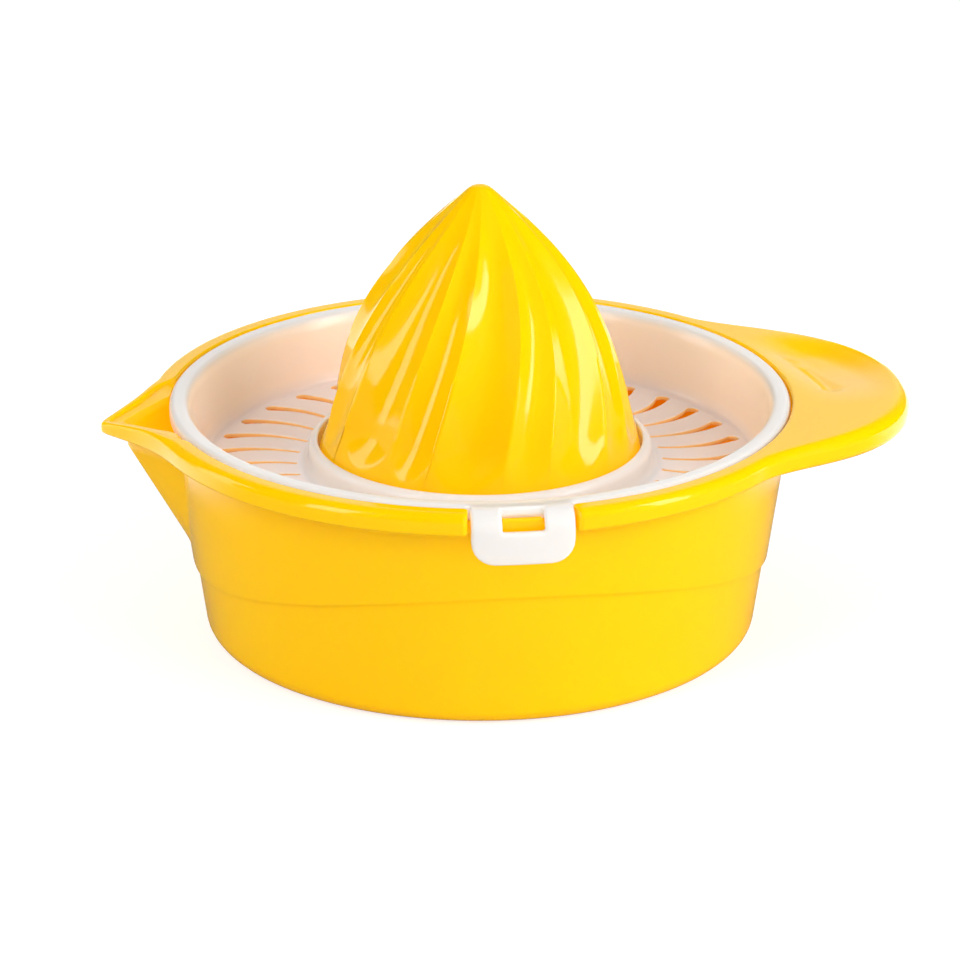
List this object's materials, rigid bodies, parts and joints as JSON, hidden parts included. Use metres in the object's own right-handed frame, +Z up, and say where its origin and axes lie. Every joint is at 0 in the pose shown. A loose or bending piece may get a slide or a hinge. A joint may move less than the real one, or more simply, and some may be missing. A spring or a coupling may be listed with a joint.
{
  "type": "citrus juicer",
  "caption": "Hand citrus juicer: a round pouring bowl with a spout and a flat handle, a lift-out slotted strainer with finger tabs, and a lift-off reamer cone with twisted flutes.",
  "frame": {"origin": "on the bowl's axis, in the flat face that the bowl stands on", "axes": "+Z up along the bowl's axis, +X towards the handle, the spout at -X, and the finger tabs at -Y and +Y"},
  "size_m": [0.1831, 0.1512, 0.104],
  "materials": {
    "yellow_plastic": "glossy moulded",
    "white_plastic": "satin gloss moulded"
  },
  "bodies": {
    "bowl": {"bowl": "yellow_plastic"},
    "strainer": {"strainer": "white_plastic"},
    "reamer": {"reamer": "yellow_plastic"}
  },
  "joints": [
    {"name": "strainer_lift", "type": "slide", "parent": "bowl", "child": "strainer", "axis": [0, 0, 1], "range_m": [0, 0.045]},
    {"name": "reamer_lift", "type": "slide", "parent": "strainer", "child": "reamer", "axis": [0, 0, 1], "range_m": [0, 0.035]}
  ]
}
